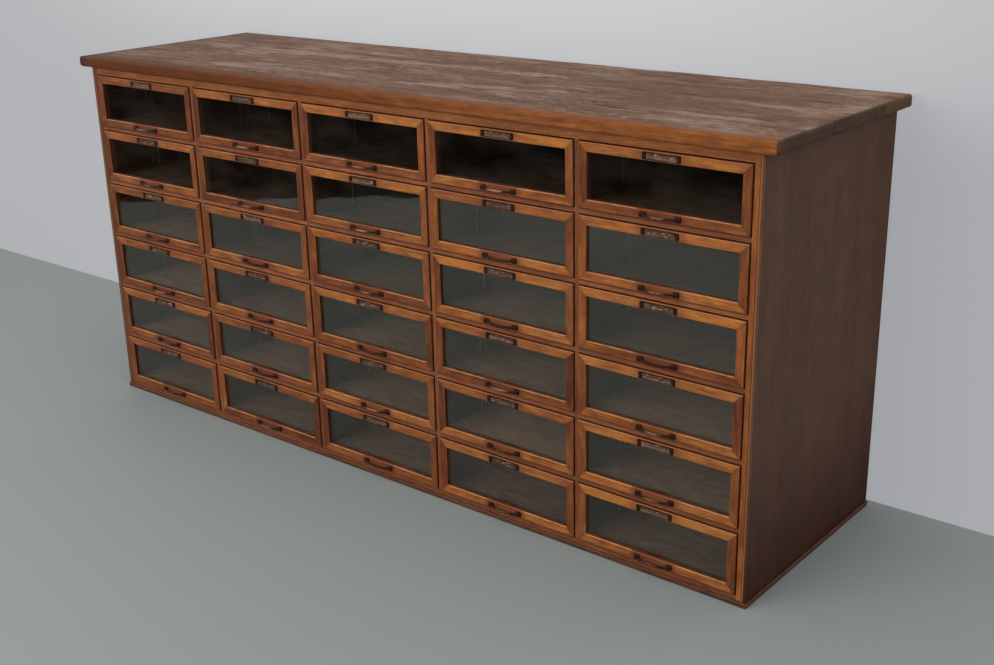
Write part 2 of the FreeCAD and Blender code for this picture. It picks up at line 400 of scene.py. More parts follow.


# %% [markdown]
# ## What each wood has been through
#
# The drawer fronts are waxed orange-brown. The upper edge of the top member carries a painted highlight,
# and the glass edge of the lower one is rubbed pale, with a painted highlight on it. Round each pull hands
# have left a darker, redder patch, and dirt lies in the mitres. The other outer edges, the faces set back
# from the front and the rails right under the drawers carry painted shade. The top has lost its wax: it is
# grey-brown with short dark checks along the grain, and only its front nose keeps the orange, which is
# darkest at the left. The end panels are stained dark brown, and painted shade makes them darker and
# redder at the foot.

# %% Finish of the drawer fronts
def mitre_and_hands(tree, shade, grain, level, end):
    """Dirt in the mitres, painted shade and a painted highlight on the outer edges, wear and a painted
    highlight at the glass, painted shade on faces set back from the front, and the patch that hands leave at
    a pull.

    The layer `handled` is 1 on the lower member, 0.5 on the upper and 0 on the two upright ones.
    """
    at = split(tree, grain)
    size = split(tree, stored(tree, "half", 1))
    across = maths(tree, "ADD", at[1], size[1])
    along = maths(tree, "SUBTRACT", size[0], maths(tree, "ABSOLUTE", at[0]))
    past = maths(tree, "SUBTRACT", along, across)
    line = step(tree, past, 0.0002, 0.0009, 0.5, 0.0)
    corner = step(tree, past, 0.0, 0.012, 0.15, 0.0)
    shade = mix(tree, maths(tree, "MAXIMUM", line, corner), shade, (50, 22, 12))
    handled = stored(tree, "handled")
    # Painted shade along the outer edges at the gaps, and a painted highlight along the upper member's top
    # edge.
    upper = maths(tree, "COMPARE", handled, 0.5, 0.2)
    edge_shade_and_highlight = mix(tree, upper, (70, 30, 14), (172, 118, 78))
    shade = mix(tree, step(tree, across, 0.0002, 0.0014, 0.7, 0.0), shade, edge_shade_and_highlight)
    inner = maths(tree, "SUBTRACT", times(tree, size[1], 2.0), across)
    back = maths(tree, "ADD", at[2], size[2])
    # Pale wear at the glass edge, mostly on the lower member, with a painted highlight where its bevel faces
    # up.
    worn = grains(tree, grain, (30.0, 60.0, 60.0), 3.0, shift=(0.0, 4.0, 8.0))
    worn = times(tree, step(tree, inner, 0.0014, 0.0020, 0.75, 0.0),
                 step(tree, worn, 0.35, 0.6, 0.3, 1.0))
    worn = times(tree, step(tree, handled, 0.6, 0.9, 0.1, 1.0), worn)
    shade = mix(tree, worn, shade, (190, 132, 88))
    # Painted shade on faces set back from the front: the lip at the glass, and the sides at the gaps.
    shade = mix(tree, step(tree, back, 0.0014, 0.0022, 0.0, 0.85), shade, (64, 28, 13))
    ragged = grains(tree, grain, (40.0, 90.0, 90.0))
    reach = maths(tree, "MULTIPLY_ADD", ragged, 0.04, maths(tree, "ABSOLUTE", at[0]))
    patch = times(tree, step(tree, reach, 0.066, 0.084, 0.7, 0.0), handled)
    return mix(tree, patch, shade, (98, 46, 26))


front_wood = oak("front_wood", (78, 36, 14), (122, 68, 31), (164, 103, 48),
                 (172, 114, 68), wear=0.35, patch=0.52, streak=0.28, figure=0.3, tone_spread=0.55,
                 extra=mitre_and_hands)


def painted_shadow_under_drawers(tree, shade, grain, level, end):
    """Painted shadow in the upper edge of each rail, right under the drawer that stands over it."""
    at = put(tree, "VectorMath", {0: stored(tree, "half", 1), 1: grain}, operation="SUBTRACT")
    from_top = split(tree, at)[2]
    return mix(tree, step(tree, from_top, 0.0012, 0.0034, 0.75, 0.0), shade, (66, 30, 16))


# The arrises of the rails and dividers are lightened: partly wear, partly a painted highlight.
frame_wood = oak("frame_wood", (82, 40, 22), (121, 69, 41), (150, 94, 60),
                 (164, 110, 76), wear=0.5, streak=0.28, figure=0.3, extra=painted_shadow_under_drawers)
waxed = ((86, 41, 17), (127, 72, 31), (164, 103, 48))


def darker_left(tree, shade, grain, level, end):
    """Dark wax on the left stile, and a dark line and a rubbed arris where a stile meets its end panel."""
    across = split(tree, object_place(tree))[0]
    from_left = maths(tree, "SUBTRACT", across, cad_box[0][0])
    shade = mix(tree, step(tree, from_left, 0.045, 0.065, 0.7, 0.0), shade, (58, 36, 16))
    from_side = maths(tree, "SUBTRACT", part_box("right_stile")[1].x, maths(tree, "ABSOLUTE", across))
    shade = mix(tree, step(tree, from_side, 0.0042, 0.0052, 0.6, 0.0), shade, (60, 26, 12))
    return mix(tree, step(tree, from_side, 0.0020, 0.0028, 0.6, 0.0), shade, (158, 108, 70))


edge_wood = oak("edge_wood", *waxed, (160, 106, 62), wear=0.3, tone_spread=0.1, patch=0.4,
                streak=0.25, figure=0.3, extra=darker_left)
rail_wood = oak("rail_wood", (86, 43, 20), (126, 73, 37), (158, 101, 56),
                (158, 101, 58), wear=0.3, patch=0.4, streak=0.25, figure=0.3)
print("three orange woods")


# %% Finish of the worktop
def scrubbed(tree, shade, grain, level, end):
    """Scuffs, stains, flecks and short checks along the grain, sawn ends, and wax left only at the nose."""
    place = object_place(tree)
    at = split(tree, place)
    heart = grains(tree, place, (0.9, 11.0, 11.0), 3.0, 0.5, 0.6, shift=(7.0, 4.0, 0.0))
    rings = maths(tree, "ABSOLUTE", maths(tree, "SINE", times(tree, heart, 42.0)))
    rings = maths(tree, "POWER", maths(tree, "SUBTRACT", 1.0, rings), 3.0)
    shade = mix(tree, times(tree, rings, 0.45), shade, (80, 52, 40))
    scuffs = grains(tree, place, (2.6, 9.0, 9.0), 6.0, 0.7, 0.3, shift=(2.0, 9.0, 0.0))
    shade = mix(tree, step(tree, scuffs, 0.50, 0.60, 0.0, 0.72), shade, (154, 130, 116))
    shade = mix(tree, step(tree, scuffs, 0.38, 0.47, 0.65, 0.0), shade, (88, 56, 44))
    streaks = grains(tree, place, (4.5, 38.0, 38.0), 4.0, 0.65, 0.2, shift=(3.0, 5.0, 0.0))
    shade = mix(tree, step(tree, streaks, 0.37, 0.47, 0.75, 0.0), shade, (78, 48, 37))
    shade = mix(tree, step(tree, streaks, 0.54, 0.66, 0.0, 0.35), shade, (154, 130, 114))
    flecks = grains(tree, place, (48.0, 150.0, 150.0), 4.0, 0.7, shift=(1.0, 6.0, 0.0))
    hard_used = grains(tree, place, (2.5, 8.0, 8.0), 3.0, 0.6, shift=(8.0, 1.0, 0.0))
    hard_used = step(tree, hard_used, 0.42, 0.62, 0.25, 1.0)
    bright = times(tree, step(tree, flecks, 0.55, 0.66, 0.0, 0.75), hard_used)
    shade = mix(tree, bright, shade, (172, 148, 130))
    dull = times(tree, step(tree, flecks, 0.36, 0.46, 0.8, 0.0), hard_used)
    shade = mix(tree, dull, shade, (70, 44, 34))
    checks = grains(tree, place, (10.0, 76.0, 76.0), 3.0, 0.6)
    worst = grains(tree, place, (3.0, 12.0, 12.0), 2.0, shift=(5.0, 2.0, 0.0))
    cracks = times(tree, step(tree, checks, 0.60, 0.65),
                   step(tree, worst, 0.42, 0.56, 0.15, 1.0))
    sawn = mix(tree, maths(tree, "GREATER_THAN", at[1], rear_seam), (64, 39, 24), (90, 62, 36))
    shade = mix(tree, step(tree, end, 0.001, 0.006, 0.92, 0.0), shade, sawn)
    # The wax ends along a ragged line a few centimetres behind the nose.
    wander = grains(tree, place, (3.5, 14.0, 14.0), 5.0, 0.6)
    edge = sway(tree, at[1], wander, 0.04)
    from_left = maths(tree, "SUBTRACT", at[0], cad_box[0][0])
    edge = maths(tree, "SUBTRACT", edge, step(tree, from_left, 0.0, 2.0, 0.022, 0.0))
    nose = step(tree, edge, cad_box[0][1] + 0.014, cad_box[0][1] + 0.044, 0.97, 0.0)
    nose = times(tree, nose, step(tree, end, 0.0010, 0.0050, 0.2, 1.0))
    calm = maths(tree, "MULTIPLY_ADD", level, 0.6, 0.2)
    shade = mix(tree, nose, shade, ramp(tree, calm, list(zip((0.05, 0.5, 0.95), waxed))))
    dirty = times(tree, step(tree, from_left, 0.3, 1.9, 0.9, 0.0), nose)
    shade = mix(tree, dirty, shade, (76, 36, 10))
    shade = mix(tree, step(tree, from_left, 0.010, 0.030, 0.9, 0.0), shade, (56, 32, 30))
    bare = maths(tree, "SUBTRACT", 1.0, times(tree, nose, 0.8))
    return mix(tree, times(tree, cracks, bare), shade, (44, 27, 20))


rear_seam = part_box("worktop_rear_plank")[0].y
worktop_wood = oak("worktop_wood", (72, 45, 33), (112, 80, 63), (144, 114, 94),
                   (112, 74, 48), rough=(0.48, 0.66), relief=0.0005, figure=0.6, patch=0.6, wear=0.5,
                   wear_width=0.003, tone_spread=0.15, gloss=0.25, streak=0.5, extra=scrubbed)

# %% Finishes of the ends, the base, the back and the inside
def mottle_and_foot_shade(tree, shade, grain, level, end):
    """The stain is mottled, with soft upright bands, and painted shade makes it darker and redder near the
    floor.
    """
    place = object_place(tree)
    height = split(tree, place)[2]
    mottle = grains(tree, place, (22.0, 22.0, 13.0), 5.0, 0.65)
    shade = mix(tree, step(tree, mottle, 0.38, 0.62), shade, (1.16, 1.02, 1.0, 1.0), "MULTIPLY")
    bands = grains(tree, place, (16.0, 16.0, 0.9), 3.0, 0.6, shift=(4.0, 0.0, 0.0))
    shade = mix(tree, step(tree, bands, 0.35, 0.65), shade, (0.86, 0.86, 0.88, 1.0), "MULTIPLY")
    drift = grains(tree, place, (3.0, 3.0, 3.0), 3.0, 0.6)
    height = sway(tree, height, drift, 0.25)
    return mix(tree, step(tree, height, -0.02, 0.36, 1.0, 0.0), shade, (0.45, 0.21, 0.15, 1.0), "MULTIPLY")


side_wood = oak("side_wood", (71, 48, 39), (91, 67, 54), (104, 79, 64),
                (112, 78, 54), figure=0.15, streak=0.3, patch=0.3, wear=0.35, rough=(0.40, 0.55),
                relief=0.00008, tone_spread=0.1, gloss=0.16, extra=mottle_and_foot_shade)
base_wood = oak("base_wood", (50, 28, 19), (80, 48, 33), (104, 66, 44),
                (138, 96, 70), wear=0.7, tone_spread=0.2, streak=0.4)
back_wood = oak("back_wood", (84, 66, 50), (122, 100, 78), (150, 128, 102),
                (160, 140, 116), rough=(0.7, 0.9), gloss=0.15, wear=0.3)
drawer_wood = oak("drawer_wood", (42, 24, 16), (62, 39, 27), (82, 56, 40),
                  (100, 74, 54), rough=(0.6, 0.8), gloss=0.2, patch=0.4, wear=0.4, streak=0.35)
bottom_wood = oak("drawer_bottom_wood", (50, 37, 29), (102, 78, 63), (144, 115, 95), rough=(0.7, 0.9),
                  gloss=0.15, patch=0.4, wear=0.0, streak=0.2, figure=0.12, tone_spread=0.9)
rib_wood = oak("rib_wood", (54, 41, 32), (94, 77, 63), (152, 132, 114), rough=(0.5, 0.7), wear=0.0,
               streak=0.2, tone_spread=0.9)
inside_wood = {
    axis: oak("inside_wood_" + axis, (50, 38, 29), (76, 61, 48), (98, 80, 64), rough=(0.65, 0.85),
              gloss=0.15, streak=0.4, along=axis)
    for axis in "xy"
}
print(len(bpy.data.materials), "finishes so far")

# %% [markdown]
# ## Glass
#
# Old window glass is clear, a little wavy, and dusty inside. A pane here lets most light straight
# through, mirrors 5 percent of it and more as the angle gets flatter, and keeps a thin film of dust.
# The mirrored part is what makes the lower panes look milky: they show the pale floor.

# %% Finish of the panes
def glass():
    material, tree = new_finish("pane_glass")
    facing = put(tree, "LayerWeight", {"Blend": 0.5}, output=1)
    mirrored = maths(tree, "MULTIPLY_ADD", maths(tree, "POWER", facing, 5.0), 0.95, 0.05)
    clear = put(tree, "BsdfTransparent", {"Color": (0.95, 0.96, 0.95, 1.0)})
    mirror = put(tree, "BsdfGlossy", {"Color": (1.0, 0.96, 0.90, 1.0), "Roughness": 0.03})
    pane = put(tree, "MixShader", {0: mirrored, 1: clear, 2: mirror})
    film = grains(tree, object_place(tree), (10.0, 10.0, 22.0), 3.0, 0.6)
    dust = put(tree, "BsdfDiffuse", {"Color": colour(176, 166, 152)})
    show(tree, put(tree, "MixShader", {0: step(tree, film, 0.35, 0.75, 0.001, 0.012), 1: pane, 2: dust}))
    return material


pane_glass = glass()


# %% [markdown]
# ## Metal and card
#
# The pulls and label holders were bronzed nearly black, and years of hands have rubbed their high spots
# back to dull brass. The cards are plain and browned.

# %% Finish of the metal
def bronzed(name, dark, brass, rubbed_from, rubbed_to):
    material, tree = new_finish(name)
    spots = grains(tree, object_place(tree), (190.0, 190.0, 190.0), 5.0, 0.7)
    high = sway(tree, stored(tree, "rubbed"), spots, 0.8)
    shade = mix(tree, step(tree, high, rubbed_from, rubbed_to), dark, brass)
    roughness = step(tree, spots, 0.3, 0.7, 0.32, 0.5)
    bump = put(tree, "Bump", {"Strength": 0.5, "Distance": 0.0003, "Height": spots})
    show(tree, put(tree, "BsdfPrincipled", {
        "Base Color": shade, "Metallic": 0.85, "Roughness": roughness, "Normal": bump,
    }))
    return material


bronze = bronzed("bronze", (60, 40, 30), (178, 136, 106), 0.72, 1.2)
holder_bronze = bronzed("holder_bronze", (60, 40, 30), (156, 118, 94), 0.6, 1.1)
nail_iron = bronzed("nail_iron", (58, 48, 42), (92, 78, 66), 0.4, 1.0)


# %% Finish of the cards
def browned_card():
    """Browned card with stains, fibres and a few rubbed marks, and no words."""
    material, tree = new_finish("label_card")
    place = object_place(tree)
    fibres = grains(tree, place, (260.0, 260.0, 900.0), 4.0, 0.7)
    stains = grains(tree, place, (60.0, 60.0, 110.0), 4.0, 0.7)
    level = sway(tree, stains, stored(tree, "tone"), 0.4)
    browns = [(0.22, (46, 30, 22)), (0.5, (70, 49, 38)), (0.8, (118, 90, 78))]
    shade = ramp(tree, level, browns)
    shade = mix(tree, times(tree, fibres, 0.25), shade, (96, 68, 52))
    rubs = grains(tree, place, (120.0, 120.0, 420.0), 2.0, 0.6, shift=(4.0, 0.0, 2.0))
    shade = mix(tree, step(tree, rubs, 0.58, 0.66, 0.0, 0.6), shade, (182, 154, 130))
    bump = put(tree, "Bump", {"Strength": 0.4, "Distance": 0.0002, "Height": fibres})
    show(tree, put(tree, "BsdfPrincipled", {"Base Color": shade, "Roughness": 0.75, "Normal": bump}))
    return material


label_card = browned_card()
print(len(bpy.data.materials), "finishes")

# %% [markdown]
# ## The worktop
#
# Three planks lie side by side. A hard-used plank isn't straight along its edges: it has lost chips and
# has been rubbed hollow. So each plank is cut across every few centimetres, and the points along its
# edges are pushed in by less than a millimetre, never out, by a slow noise. The front plank's nose is
# rounded, and so are the ends.

# %% A worn plank
def push_in(bm, low, high, depth, scale, seed):
    """Moves points on a plank's faces inwards by up to a depth, along a noise."""
    middle = (low + high) / 2
    for vert in bm.verts:
        amount = depth * max(0.0, 0.5 + noise.noise(vert.co * scale + Vector((seed, 0, 0))))
        for axis in (1, 2):
            if min(abs(vert.co[axis] - low[axis]), abs(vert.co[axis] - high[axis])) < 0.004:
                vert.co[axis] += amount if vert.co[axis] < middle[axis] else -amount


plank_rounding = 0.0062
plank_cuts = 56


def worktop_plank(name, seed, front):
    low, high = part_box(name)
    bm = new_wood()
    bmesh.ops.create_cube(bm, size=1.0, matrix=Matrix.LocRotScale((low + high) / 2, None, high - low))
    nose = [e for e in bm.edges if all(abs(v.co.y - low.y) < 1e-5 for v in e.verts)] if front else []
    ends = [e for e in bm.edges if all(abs(v.co.x - e.verts[0].co.x) < 1e-5 for v in e.verts)
            and abs(e.verts[0].co.y - e.verts[1].co.y) > 0.05]
    long_nose = [e for e in nose if abs(e.verts[0].co.x - e.verts[1].co.x) > 0.5]
    shade_smooth(round_off(bm, list(set(ends + long_nose)), plank_rounding, 5))
    round_off(bm, [e for e in bm.edges if e.calc_face_angle(0.0) > 1.0], 0.0008)
    for cut in range(1, plank_cuts):
        score(bm, (low.x + 0.01 + (high.x - low.x - 0.02) * cut / plank_cuts, 0, 0), (1, 0, 0))
    push_in(bm, low, high, 0.0009, 7.0, seed)
    mark_board(bm, bm.verts, (low + high) / 2, (high - low) / 2, grain_order["x"], dice.random())
    return make_piece(bm, name + "_worn", [worktop_wood], "carcase", [name])


for seed, plank_name in enumerate(("worktop_front_plank", "worktop_middle_plank", "worktop_rear_plank")):
    plank = worktop_plank(plank_name, 3.0 + 11 * seed, seed == 0)
    print(plank.name, len(plank.data.polygons), "faces")

# %% [markdown]
# ## Face frame, ends, base and back
#
# These are plain sawn boards. Each takes its place and size from its CAD node, gets its arrises taken
# off and a grain of its own. Tenons and mortises are hidden, so they stay with the CAD.

# %% Boards of the face frame
def plain_board(node, along, finish, arris=0.0008):
    low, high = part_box(node)
    bm = new_wood()
    put_board(bm, low, high, along, arris)
    return make_piece(bm, node + "_wood", [finish], "carcase", [node])


column_edges = [tuple(v.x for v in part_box(f"divider_{n}")) for n in range(1, 5)]
for node in ("left_stile", "right_stile"):
    plain_board(node, "z", edge_wood)
for number in range(1, 5):
    plain_board(f"divider_{number}", "z", frame_wood)
stile_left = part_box("left_stile")[1].x
stile_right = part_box("right_stile")[0].x
for node in ("top_rail", "bottom_rail"):
    low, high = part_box(node)
    low.x, high.x = stile_left, stile_right
    bm = new_wood()
    put_board(bm, low, high, "x")
    finish = rail_wood if node == "top_rail" else frame_wood
    make_piece(bm, node + "_wood", [finish], "carcase", [node])

edges_x = [stile_left] + [x for pair in column_edges for x in pair] + [stile_right]
column_spans = list(zip(edges_x[0::2], edges_x[1::2]))
for number in range(1, 6):
    low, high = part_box(f"row_rail_{number}")
    bm = new_wood()
    for left, right in column_spans:
        put_board(bm, (left, low.y, low.z), (right, high.y, high.z), "x")
    make_piece(bm, f"row_rail_{number}_wood", [frame_wood], "carcase", [f"row_rail_{number}"])
print("columns at", [round(left, 4) for left, _ in column_spans])

# %% End panels and base strips
for side in ("left", "right"):
    plain_board(side + "_end_panel", "z", side_wood, arris=0.0010)

strip_width = 0.060
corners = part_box("base_frame")
bm = new_wood()
for across, side in ((1, 0), (1, 1), (0, 0), (0, 1)):
    # Front, rear, left and right strip. Each starts as a whole length and loses a corner at both ends.
    strip = [corners[0].copy(), corners[1].copy()]
    strip[1 - side][across] = corners[side][across] + (-strip_width if side else strip_width)
    mitres = []
    for end in (0, 1):
        point, normal = Vector((0, 0, 0)), Vector((0, 0, 0))
        point[across], point[1 - across] = corners[side][across], corners[end][1 - across]
        normal[across], normal[1 - across] = 1 - 2 * side, 2 * end - 1
        mitres.append((point, normal))
    put_board(bm, *strip, "yx"[across], 0.0018, mitres)
base = make_piece(bm, "base_strips", [base_wood], "carcase", ["base_frame"])
print("base strips", len(base.data.polygons), "faces")

# %% Back boards with their nails
low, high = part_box("back_boards")
board_count, board_gap = 12, 0.001
board_pitch = (high.x - low.x + board_gap) / board_count
bm = new_wood()
for number in range(board_count):
    left = low.x + number * board_pitch
    put_board(bm, (left, low.y, low.z), (left + board_pitch - board_gap, high.y, high.z), "z", 0.001)
wood_faces = set(bm.faces)
nail_places = [(low.x + (number + across) * board_pitch, high.y - 0.0004, height)
               for number in range(board_count) for across in (0.25, 0.75)
               for height in (low.z + 0.006, 0.445, high.z - 0.010)]
for place in nail_places:
    bmesh.ops.create_cone(bm, cap_ends=True, segments=10, radius1=0.0026, radius2=0.0022, depth=0.0006,
                          matrix=Matrix.Translation(place) @ Matrix.Rotation(-math.pi / 2, 4, "X"))
for face in bm.faces:
    face.material_index = int(face not in wood_faces)
make_piece(bm, "back_boards_nailed", [back_wood, nail_iron], "carcase", ["back_boards"])
print(board_count, "boards,", len(nail_places), "nails")

# %% [markdown]
# ## Inside the case
#
# Partitions, runners and bearers only show when a drawer is out. Their CAD solids have the right
# shape already, so they stay and get bare wood, drawn from object coordinates along their length.

# %% Bare wood on the carried-over nodes
front_to_back = ("partition_1", "partition_2", "partition_3", "partition_4", "left_gable", "right_gable",
                 "runners_and_kickers")
for name in front_to_back + ("bottom_boards", "top_bearers", "stop_rails"):
    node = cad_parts[name]
    node.data.materials.clear()
    node.data.materials.append(inside_wood["y" if name in front_to_back else "x"])

# %% [markdown]
# ## A glazed drawer front
#
# Each front is four lengths of one moulding, mitred at the corners: a plain face with an arris outside,
# a small bevel at the glass, and a rebate behind for the pane. Its section is drawn once as a few
# points, pushed along, and cut off at 45 degrees, as it would be in a mitre box.

# %% The moulding's section, across and back
front_section = [
    (0.0, front_arris),
    (front_arris, 0.0),
    (member_width - sight_bevel, 0.0),
    (member_width, sight_bevel),
    (member_width, lip_depth),
    (member_width - rebate_width, lip_depth),
    (member_width - rebate_width, front_thickness),
    (0.0, front_thickness),
]
bead_depth = front_thickness - lip_depth - glass_thickness
bead_section = [(0.0, 0.0), (bead_width, 0.0), (bead_width, bead_depth), (0.0, bead_depth)]


def put_moulding(bm, section, middle, width, height, turn, tone, handled, arris):
    """One mitred length round a rectangle, turned into its place about the rectangle's middle."""
    length, other = (width, height) if turn % 180 == 0 else (height, width)
    before = set(bm.verts)
    outline = [bm.verts.new((-length / 2, back, across - other / 2)) for across, back in section]
    face = bm.faces.new(outline)
    pushed = bmesh.ops.extrude_face_region(bm, geom=[face])
    ends = [item for item in pushed["geom"] if isinstance(item, bmesh.types.BMVert)]
    bmesh.ops.translate(bm, vec=(length, 0, 0), verts=ends)
    for side in (-1, 1):
        cut_off(bm, before, (side * length / 2, 0, -other / 2), (side, 0, 1))
    bmesh.ops.recalc_face_normals(bm, faces=list({f for v in new_verts(bm, before) for f in v.link_faces}))
    soften(bm, before, arris)
    across = max(point[0] for point in section)
    back = max(point[1] for point in section)
    centre = Vector((0, back / 2, across / 2 - other / 2))
    half = Vector((length / 2, back / 2, across / 2))
    verts = new_verts(bm, before)
    mark_board(bm, verts, centre, half, (0, 2, 1), tone, handled)
    bmesh.ops.rotate(bm, verts=verts, cent=(0, 0, 0), matrix=Matrix.Rotation(math.radians(-turn), 3, "Y"))
    bmesh.ops.translate(bm, vec=middle, verts=verts)


# %% Front, pane and box of one drawer
def thicken(bm, thickness):
    """Gives a sheet a back and a rim, smooth on its faces and sharp round its rim."""
    back = bmesh.ops.extrude_face_region(bm, geom=list(bm.faces), use_keep_orig=True)
    moved = [item for item in back["geom"] if isinstance(item, bmesh.types.BMVert)]
    bmesh.ops.translate(bm, vec=(0, thickness, 0), verts=moved)
    bmesh.ops.recalc_face_normals(bm, faces=list(bm.faces))
    shade_smooth(bm.faces)
    for edge in bm.edges:
        edge.smooth = edge.calc_face_angle(0.0) < 1.0


# Turn, handled, darkest and palest tone of the lower, the two upright and the upper member
members = ((0, 1.0, 0.2, 0.9), (90, 0.0, 0.0, 0.7), (180, 0.5, 0.6, 1.15), (270, 0.0, 0.0, 0.7))
# The counter gets dirtier towards its left end, so the tones of each column are taken down a little.
column_dirt = (0.26, 0.24, 0.12, 0.05, 0.0)


def drawer_front(name, left, right, bottom):
    width = right - left
    bm = new_wood()
    middle = Vector((left + width / 2, face_y - front_proud, bottom + front_height / 2))
    for turn, handled, darkest, palest in members:
        tone = dice.uniform(darkest, palest) - column_dirt[grid_place(name)[1]]
        put_moulding(bm, front_section, middle, width, front_height, turn, tone, handled, 0.0004)
    inset = member_width - rebate_width
    behind = middle + Vector((0, lip_depth + glass_thickness, 0))
    for turn in (0, 90, 180, 270):
        put_moulding(bm, bead_section, behind, width - 2 * inset, front_height - 2 * inset, turn,
                     dice.random(), 0.0, 0.0003)
    return make_piece(bm, name + "_front", [front_wood], name, [name])


def put_sheet(middle, width, height, columns, rows):
    """An upright grid that faces the front."""
    bm = bmesh.new()
    upright = Matrix.Rotation(math.pi / 2, 4, "X") @ Matrix.Diagonal((width, height, 1, 1))
    bmesh.ops.create_grid(bm, x_segments=columns, y_segments=rows, size=0.5,
                          matrix=Matrix.Translation(middle) @ upright)
    return bm


def drawer_pane(name, left, right, bottom):
    """A pane with a little air to its rebate, and waves of a tenth of a millimetre."""
    inset = member_width - rebate_width + 0.0004
    glass_y = face_y - front_proud + lip_depth + 0.0002
    middle = Vector(((left + right) / 2, glass_y, bottom + front_height / 2))
    bm = put_sheet(middle, right - left - 2 * inset, front_height - 2 * inset, 24, 8)
    for vert in bm.verts:
        vert.co.y += 0.00012 * (1 + noise.noise(vert.co * 18.0))
    thicken(bm, 0.0026)
    return make_piece(bm, name + "_pane", [pane_glass], name)


# Painted light and shade by row: the bottoms of the lower drawers are painted lighter, where more light
# falls in, and the ribs of the upper ones painted darker, where they lie in shade.
painted_light_by_row = (0.12, 0.22, 0.30, 0.52, 0.56, 0.48)
rib_painted_shade = (0.30, 0.26, 0.10, 0.0, 0.0, 0.0)
ribs_behind_face = (0.130, 0.150, 0.220)
rib_width, rib_relief = 0.0022, 0.0016


def drawer_box(name, left, right, low, high):
    """Two sides, a bottom, a back, and the thin upright ribs on the sides."""
    row, column = grid_place(name)
    start = face_y - front_proud + front_thickness
    top = low.z + box_height
    inner_left, inner_right = left + box_board, right - box_board
    floor_z = low.z + bottom_rise + bottom_thickness
    bm = new_wood()
    for side, inner in ((left, inner_left), (inner_right, right)):
        put_board(bm, (side, start, low.z), (inner, high.y, top), "y", 0.0012)
    before = set(bm.faces)
    tone = painted_light_by_row[row] + dice.uniform(0.0, 0.3)
    put_board(bm, (inner_left, start, low.z + bottom_rise), (inner_right, high.y - 0.0002, floor_z), "x",
              0.0003, tone=tone)
    for face in bm.faces:
        face.material_index = int(face not in before)
    put_board(bm, (inner_left, high.y - box_board, floor_z), (inner_right, high.y, top - 0.0002), "x", 0.0010)
    before = set(bm.faces)
    for behind in ribs_behind_face:
        for face_x, way in ((inner_left, 1), (inner_right, -1)):
            near, far = sorted((face_x - way * 0.0004, face_x + way * rib_relief))
            at = face_y + behind
            tone = dice.uniform(0.1, 0.9) - column_dirt[column] - rib_painted_shade[row]
            put_board(bm, (near, at, floor_z), (far, at + rib_width, top - 0.004), "z", 0.0006, tone=tone)
    for face in bm.faces:
        if face not in before:
            face.material_index = 2
    return make_piece(bm, name + "_box", [drawer_wood, bottom_wood, rib_wood], name)


# %% [markdown]
# ## The bow pull
#
# A bow pull is cast in one: two feet that sit flat on the wood, each with a screw, and a thin bar that
# bows out between them. The bar is a small ring of points spun round the centre of its arc.

# %% One pull
def rub(bm, start_y, depth, share=1.0):
    """Writes how far each point stands out, because hands rub the high spots."""
    layer = bm.verts.layers.float.new("rubbed")
    for vert in bm.verts:
        vert[layer] = share * min(1.0, max(0.0, (start_y - vert.co.y) / depth))


def deep_edges(edges):
    """The edges that run from front to back."""
    return [e for e in edges if abs(e.verts[0].co.y - e.verts[1].co.y) > 0.001]


foot_width, foot_depth, foot_height = 0.0130, 0.0046, 0.0110
bar_reach, bar_rise, bar_lift = 0.0375, 0.0109, 0.0029
bar_half_height, bar_half_thickness = 0.0025, 0.0017


def drawer_pull(name, middle_x, middle_z, front_y):
    bm = bmesh.new()
    for side in (-1, 1):
        before = set(bm.verts)
        at = Vector((middle_x + side * bar_reach, front_y - foot_depth / 2, middle_z))
        size = (foot_width, foot_depth, foot_height)
        bmesh.ops.create_cube(bm, size=1.0, matrix=Matrix.LocRotScale(at, None, size))
        round_off(bm, deep_edges(new_edges(bm, before)), 0.0034, 4)
        outer = [e for e in new_edges(bm, before) if all(v.co.y < at.y - 0.002 for v in e.verts)]
        round_off(bm, outer, 0.0020, 3)
    radius = (bar_reach ** 2 + bar_rise ** 2) / (2 * bar_rise)
    half_angle = math.asin(bar_reach / radius)
    centre = Vector((middle_x, front_y - bar_lift - bar_rise + radius, middle_z))
    start = Matrix.Translation(centre) @ Matrix.Rotation(half_angle, 4, "Z")
    start @= Matrix.Translation((0, -radius, 0)) @ Matrix.Rotation(math.pi / 2, 4, "Y")
    start @= Matrix.Diagonal((bar_half_height, bar_half_thickness, 1, 1))
    before = set(bm.verts)
    bmesh.ops.create_circle(bm, cap_ends=True, segments=10, radius=1.0, matrix=start)
    ring = new_verts(bm, before)
    cap = list({face for vert in ring for face in vert.link_faces})
    bmesh.ops.spin(bm, geom=ring + new_edges(bm, before) + cap, cent=centre, axis=(0, 0, 1),
                   dvec=(0, 0, 0), angle=-2 * half_angle, steps=18,
                   use_merge=False, use_normal_flip=False, use_duplicate=False)
    for side in (-1, 1):
        at = Vector((middle_x + side * (bar_reach + 0.0030), front_y - foot_depth, middle_z))
        bmesh.ops.create_uvsphere(bm, u_segments=12, v_segments=8, radius=1.0,
                                  matrix=Matrix.LocRotScale(at, None, (0.0022, 0.0012, 0.0022)))
    bmesh.ops.recalc_face_normals(bm, faces=list(bm.faces))
    shade_smooth(bm.faces)
    rub(bm, front_y - 0.003, 0.0125, dice.uniform(0.7, 1.25))
    return make_piece(bm, name + "_pull", [bronze], name)


# %% [markdown]
# ## The label holder
#
# A stamped tray: two solid ears with a pin in each, and a thin lip above and below a window. The card
# slides in behind the lips and bulges out a little between them.

